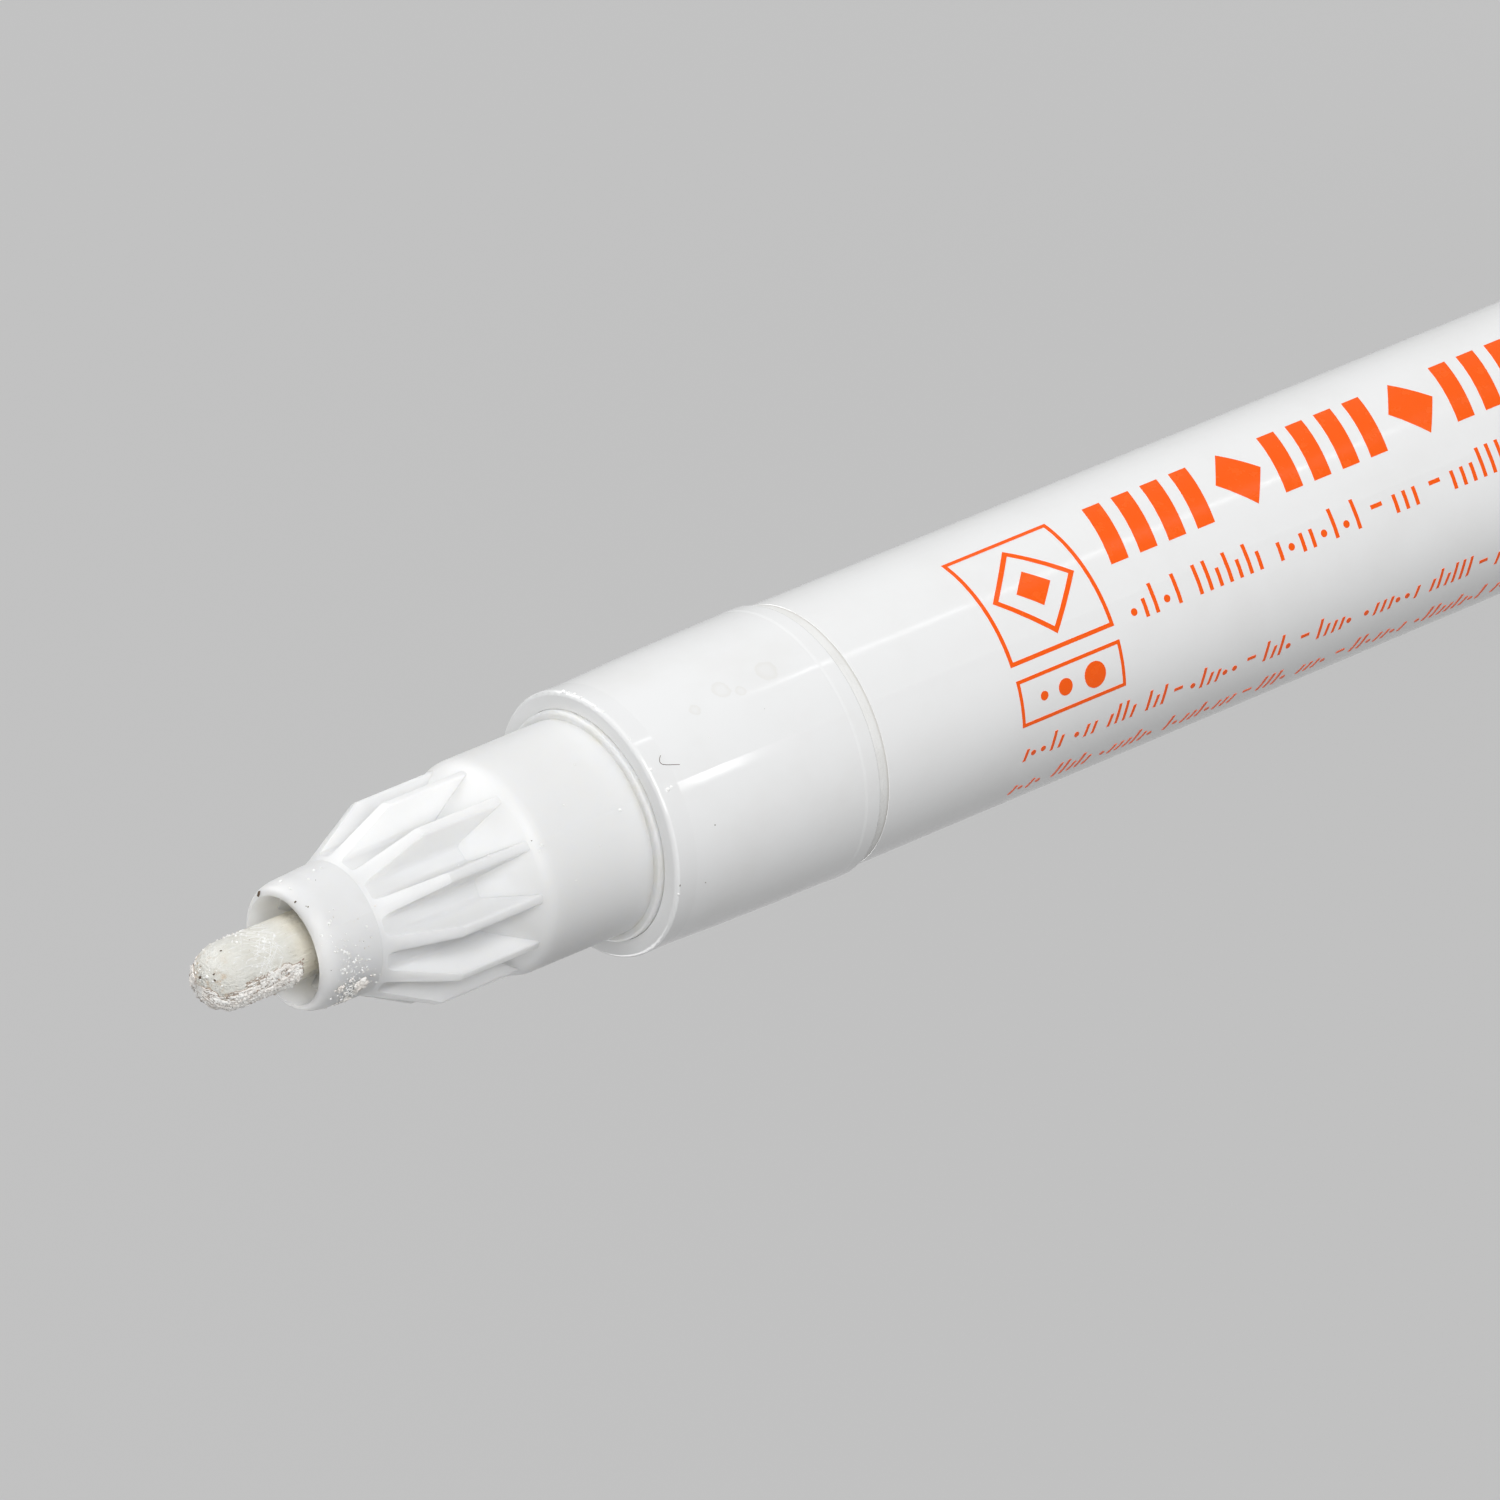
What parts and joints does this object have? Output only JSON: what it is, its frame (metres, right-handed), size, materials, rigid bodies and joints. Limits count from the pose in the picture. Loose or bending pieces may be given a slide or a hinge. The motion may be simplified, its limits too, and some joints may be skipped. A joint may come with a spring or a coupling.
{
  "type": "chalk marker",
  "caption": "White uncapped liquid chalk marker: chalk-crusted bullet nib in a finned holder, smooth front collar and printed round barrel, with a spring valve that the nib presses open.",
  "frame": {"origin": "middle of the flat rear face of the barrel, which the marker stands on", "axes": "+Z along the marker's axis, from the rear end up to the nib; +X and +Y are free, with one fin of the holder on +X"},
  "size_m": [0.0128, 0.0128, 0.132],
  "materials": {
    "barrel_white": "smooth moulded gloss",
    "holder_white": "moulded semi-gloss",
    "collar_white": "smooth moulded gloss",
    "nib_fibre": "pressed fibre soaked in white chalk ink",
    "dried_chalk": "dry crumbly chalk",
    "print_orange": "thin printed ink",
    "valve_white": "moulded satin",
    "seat_rubber": "soft matt rubber",
    "spring_steel": "drawn stainless wire",
    "ball_steel": "polished steel"
  },
  "bodies": {
    "pen_body": {"barrel": "barrel_white", "nib_holder": "holder_white", "front_collar": "collar_white", "valve_body": "valve_white", "valve_seat": "seat_rubber", "spring_cage": "valve_white", "valve_spring": "spring_steel", "mixing_ball": "ball_steel"},
    "nib_and_plunger": {"nib": "nib_fibre", "valve_plunger": "valve_white"}
  },
  "joints": [
    {"name": "nib_press", "type": "slide", "parent": "pen_body", "child": "nib_and_plunger", "axis": [0, 0, -1], "range_m": [0, 0.002], "stiffness_N_per_m": 800, "springref_m": -0.003, "deforming": ["valve_spring"]}
  ]
}
